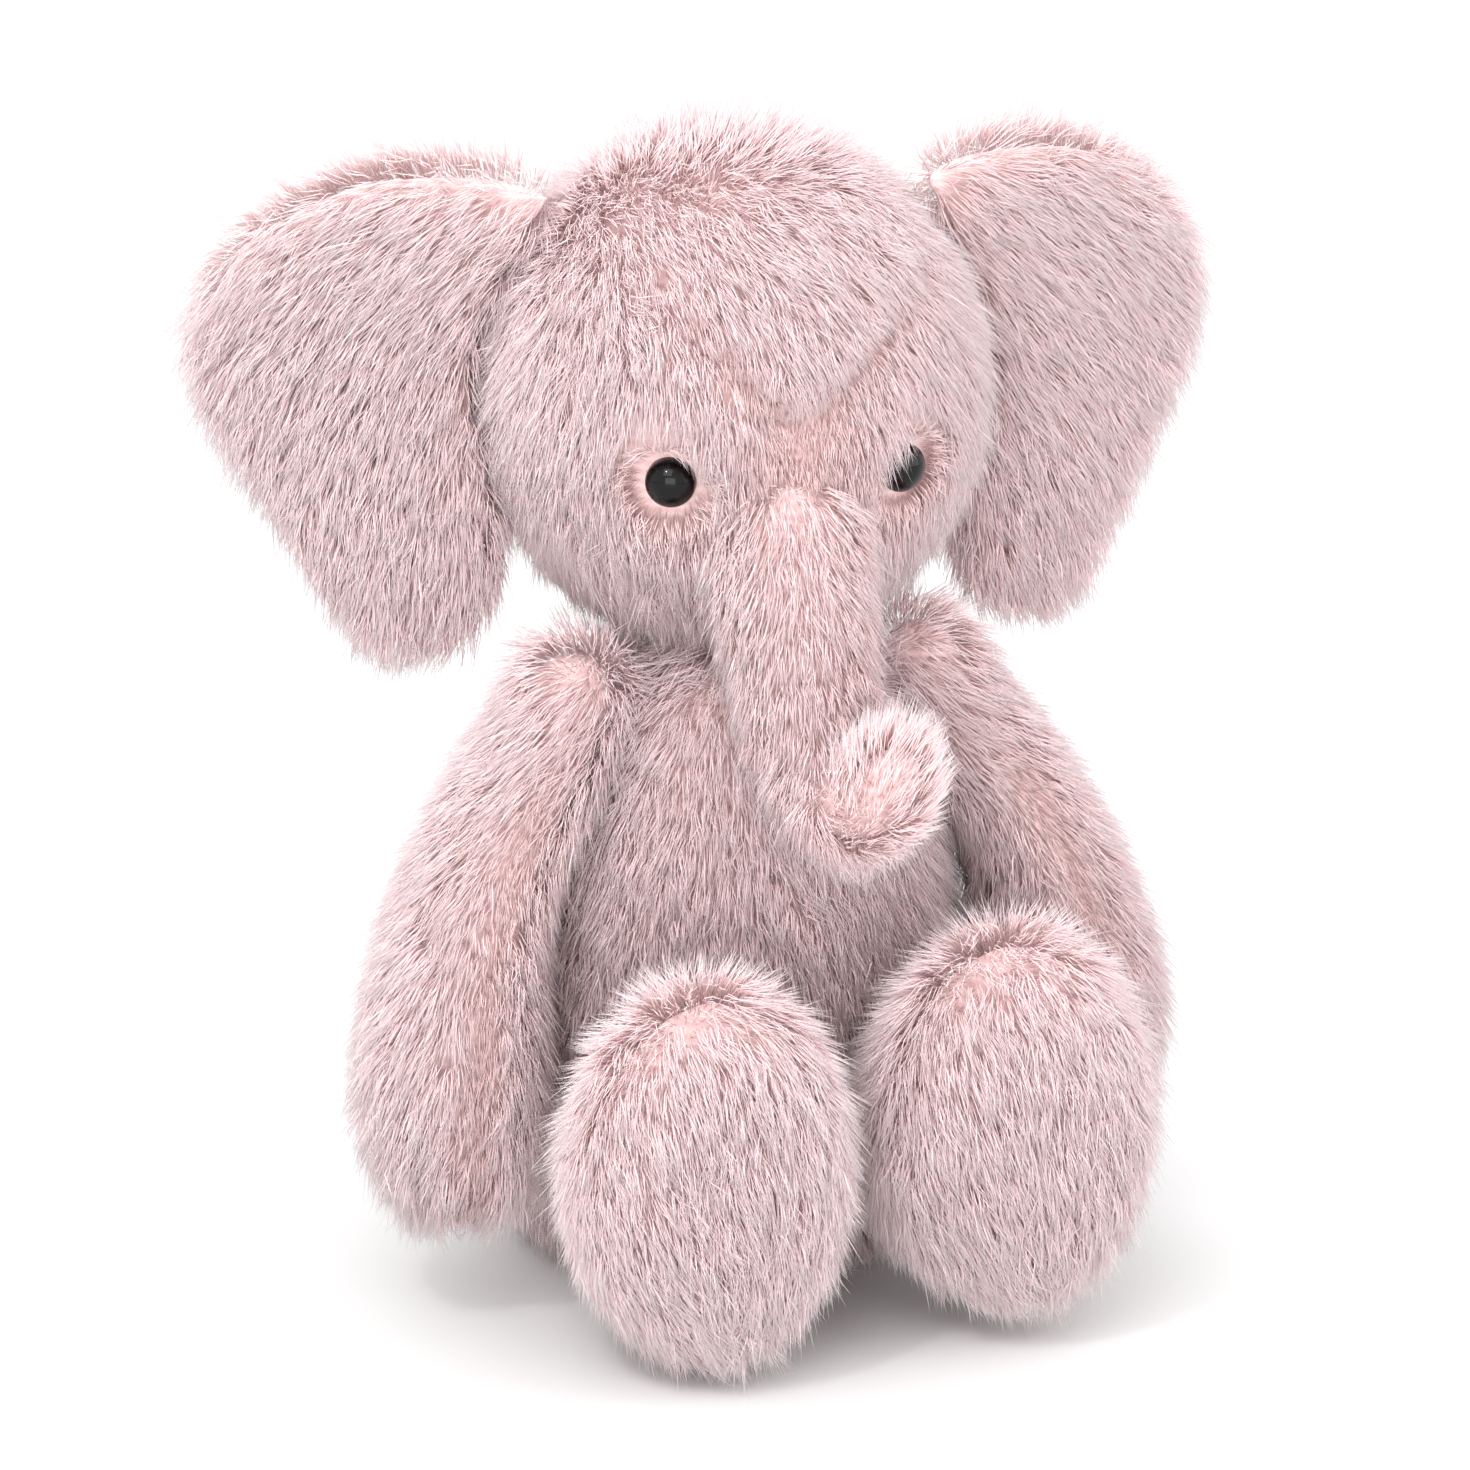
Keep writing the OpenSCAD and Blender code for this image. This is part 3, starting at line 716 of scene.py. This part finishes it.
def grow(name):
    """Makes the pile of one form, as one object for each panel."""
    form, skin = FORMS[name], skins[name]
    area = sum(f.area for f in skin.data.polygons) / MM**2
    at, up = scatter(skin, int(area * DENSITY), rng)
    # roots buried in another form are left out
    hidden = np.zeros(len(at), dtype=bool)
    for other in NEIGHBOURS.get(name, []):
        tree = skin_trees[other]
        hidden |= np.array([inside(tree, Vector(p), 0.8 * MM) for p in at])
    if name == "head":
        for eye in eyes:
            hidden |= np.linalg.norm(at - np.array(eye), axis=1) < EYE_RADIUS
    at, up = at[~hidden], up[~hidden]
    count = len(at)
    # which panel each root is on, and how far it is from the next panel
    away = np.array([
        [tree.find_nearest(Vector(p))[3] for p in (at + up * 3 * MM)]
        for tree in (panel_trees[n] for n in form["panels"])
    ])
    owner = away.argmin(axis=0)
    seam = np.sort(away, axis=0)[1] if len(away) > 1 else np.full(count, NO_SEAM)
    lie = nap(name, at)
    lie = lie - up * (lie * up).sum(axis=1, keepdims=True)
    wander = rng.normal(0, WANDER, (count, 3))
    begins, full = (0.78, 0.96) if name == "head" else (0.15, 0.9)
    stand = np.clip((up[:, 2:3] - begins) / (full - begins), 0, 1) * STANDS.get(name, 0.3)
    first = unit(up * 1.0 + lie * (0.85 - 0.5 * stand) + wander)
    second = unit(up * (0.35 + 0.6 * stand) + lie * (1.0 - 0.5 * stand) + wander * 1.5)
    share = rng.uniform(0.74, 1.08, count)
    share[rng.random(count) < 0.04] *= 1.3
    if name in SHORT_SEAMS:
        below = head_middle[2] + 35 * MM if name == "head" else pivot(name)[2] - 5 * MM
        low = np.clip((below - at[:, 2]) / (20 * MM), 0.1, 1)
        share *= 1 - low * np.clip(0.6 - 0.6 * seam / (6.5 * MM), 0, 0.5)
    if name == "head":
        between = np.linalg.norm(at - between_eyes, axis=1)
        share *= np.clip(0.6 + 0.4 * (between - 9 * MM) / (12 * MM), 0.6, 1.0)
        for eye in eyes:
            near = np.linalg.norm(at - np.array(eye), axis=1)
            share *= np.clip(0.6 + 0.4 * (near - 7 * MM) / (8 * MM), 0.6, 1.0)
    if name in ("tail", "trunk"):
        share *= 0.85
    length = PILE_LENGTH * share
    bend = at + first * (length * BEND_AT)[:, None]
    tip = bend + second * (length * (1 - BEND_AT))[:, None]
    # clumps: each strand leans towards the nearest of a thinner set of leaders
    leaders = rng.choice(count, max(4, count // CLUMP), replace=False)
    finder = KDTree(len(leaders))
    for k, i in enumerate(leaders):
        finder.insert(at[i], k)
    finder.balance()
    lead = leaders[[finder.find(p)[1] for p in at]]
    pull = rng.uniform(0.15, 0.6, count)[:, None]
    tip = tip + (tip[lead] - tip) * pull
    bend = bend + (bend[lead] - bend) * pull * 0.25
    radius = STRAND_RADIUS * rng.uniform(0.75, 1.15, count)
    shade = np.clip(rng.normal(0.6, 0.22, count), 0.01, 0.99)
    # pile that would lie on the floor is pressed flat against it
    bend[:, 2] = np.maximum(bend[:, 2], 0.6 * MM)
    tip[:, 2] = np.maximum(tip[:, 2], 0.4 * MM)
    keep = np.arange(count)
    if name == "head":
        # a trimmed cone in front of each eye
        clear = np.ones(count, dtype=bool)
        for eye, stem in zip(eyes, eye_stems):
            out = np.array((eye - stem).normalized())
            for step in np.linspace(0, 1, 7):
                for q in (at + (bend - at) * step, bend + (tip - bend) * step):
                    reach = q - np.array(eye)
                    along = reach @ out
                    off = np.linalg.norm(reach - out * along[:, None], axis=1)
                    clear &= (off > 6.3 * MM + 0.55 * np.maximum(along, 0)) | (along < -2 * MM)
        keep = np.nonzero(clear)[0]
    made = []
    for k, node in enumerate(form["panels"]):
        mine = keep[owner[keep] == k][:LIMIT]
        mesh = strand_mesh(
            node + "_pile", at[mine], bend[mine], tip[mine], radius[mine], shade[mine], share[mine]
        )
        mesh.materials.append(pile)
        obj = add_object(node + "_pile", mesh)
        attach(obj, form["body"])
        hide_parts(node)
        made.append(obj)
    return made


piles = {name: grow(name) for name in FORMS}
print("strands", {o.name: len(o.data.polygons) // 6 for group in piles.values() for o in group})

# %% [markdown]
# ### The knitted back
# The pile is knitted into a thin back, which is the panel itself. Each skin is cut along its
# seams into its panels and given the back's thickness.

# %% Back the pile with its knit

KNIT_THICKNESS = 0.8 * MM

for name, form in FORMS.items():
    skin = skins[name]
    owner, _ = panel_of(form, skin.data)
    p, t = points_of(skin.data), triangles_of(skin.data)
    for k, node in enumerate(form["panels"]):
        mine = t[owner[t].min(axis=1) == k]
        used, faces = np.unique(mine, return_inverse=True)
        mesh = bpy.data.meshes.new(node + "_knit")
        mesh.from_pydata(p[used].tolist(), [], faces.reshape(-1, 3).tolist())
        mesh.polygons.foreach_set("use_smooth", np.ones(len(mesh.polygons), dtype=bool))
        mesh.materials.append(knit)
        back = add_object(node + "_knit", mesh)
        thick = back.modifiers.new("thick", "SOLIDIFY")
        thick.thickness = KNIT_THICKNESS
        thick.offset = -1.0
        use_modifiers(back)
        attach(back, form["body"])
        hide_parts(node)
    bpy.data.objects.remove(skin)
print("backed", sum(len(form["panels"]) for form in FORMS.values()), "panels")

# %% [markdown]
# ### The care label
# A strip of white satin ribbon, folded in half and caught in the seam up the back. A fold is
# easier to draw than to simulate at this size, so its section is drawn and swept down.

# %% Fold the label

lo, hi = (np.array(v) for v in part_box("care_label"))
fold = [(-0.35, 0.0), (-0.4, 0.35), (-0.45, 0.7), (-0.4, 0.96), (0.0, 1.0), (0.4, 0.96), (0.45, 0.7),
        (0.4, 0.35), (0.35, 0.0)]
points = []
for z in np.linspace(lo[2], hi[2], 5):
    droop = 3 * MM * ((hi[2] - z) / (hi[2] - lo[2]) - 0.5)
    for x, y in fold:
        points.append((x * MM + droop * y * y * 0.3, lo[1] + (hi[1] - lo[1]) * y, z))
faces = [(r * 9 + c, r * 9 + c + 1, r * 9 + c + 10, r * 9 + c + 9) for r in range(4) for c in range(8)]
mesh = bpy.data.meshes.new("care_label_satin")
mesh.from_pydata(points, [], faces)
mesh.polygons.foreach_set("use_smooth", np.ones(len(faces), dtype=bool))
mesh.materials.append(satin)
label = add_object("care_label_satin", mesh)
thick = label.modifiers.new("thick", "SOLIDIFY")
thick.thickness = 0.15 * MM
use_modifiers(label)
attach(label, "torso")
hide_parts("care_label")

# %% [markdown]
# ### Eyes and washers
# The eyes are polished beads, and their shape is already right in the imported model, so they
# only need their finish. So do the washers that lock them inside the head.

# %% Finish the hard pieces

for side in ("left", "right"):
    for node, finish in (("eye_", bead), ("eye_washer_", washer)):
        obj = frame["nodes"][node + side]
        obj.data.materials.clear()
        obj.data.materials.append(finish)

# %% [markdown]
# ## Camera, floor and light
# A long lens keeps the toy's proportions true. Wide lamps and a white surround give soft
# light with a faint contact shadow, and one small lamp puts the highlight in the eyes.

# %% Set up the studio


def look_from(azimuth, elevation, distance, aim, across, down):
    """Places a long-lens camera round the toy and slides it off its aim."""
    a, e = math.radians(azimuth), math.radians(elevation)
    back = Vector((math.sin(a) * math.cos(e), -math.cos(a) * math.cos(e), math.sin(e)))
    right = Vector((math.cos(a), math.sin(a), 0))
    up = back.cross(right)
    data = bpy.data.cameras.new("camera")
    data.sensor_width = 36.0
    data.lens = 150.0
    camera = bpy.data.objects.new("camera", data)
    camera.location = aim + right * across - up * down + back * distance
    camera.rotation_mode = "QUATERNION"
    camera.rotation_quaternion = (-back).to_track_quat("-Z", "Y")
    bpy.context.scene.collection.objects.link(camera)
    bpy.context.scene.camera = camera


def area_light(name, place, aim, size, power):
    """A soft square lamp pointed at a place."""
    data = bpy.data.lights.new(name, "AREA")
    data.size = size
    data.energy = power
    lamp = bpy.data.objects.new(name, data)
    lamp.location = place
    lamp.rotation_euler = (aim - Vector(place)).to_track_quat("-Z", "Y").to_euler()
    bpy.context.scene.collection.objects.link(lamp)


middle = Vector((0, 0, 0.14))
look_from(-22.0, 15.0, 1.5, middle, 4.2 * MM, 12.0 * MM)
area_light("key", (-0.9, -1.0, 1.5), middle, 1.1, 11)
area_light("fill", (1.2, -0.9, 0.7), middle, 1.2, 8)
area_light("front", (-0.8, -1.5, 0.15), middle, 1.2, 14)
area_light("glint", (-0.84, -0.69, 1.31), middle, 0.1, 4)

floor_mesh = bpy.data.meshes.new("floor")
floor_mesh.from_pydata([(-6, -6, 0), (6, -6, 0), (6, 6, 0), (-6, 6, 0)], [], [(0, 1, 2, 3)])
floor = add_object("floor", floor_mesh)
white, tree, output = new_material("white_paper_floor")
paper = add_node(tree, "ShaderNodeBsdfPrincipled", Base_Color=linear("#d8d8d8"), Roughness=0.9)
tree.links.new(paper.outputs["BSDF"], output.inputs["Surface"])
floor_mesh.materials.append(white)

world = bpy.data.worlds.new("studio")
world.use_nodes = True
world.node_tree.nodes["Background"].inputs["Color"].default_value = (1, 1, 1, 1)
world.node_tree.nodes["Background"].inputs["Strength"].default_value = 1.5
bpy.context.scene.world = world
bpy.context.scene.view_settings.view_transform = "Standard"
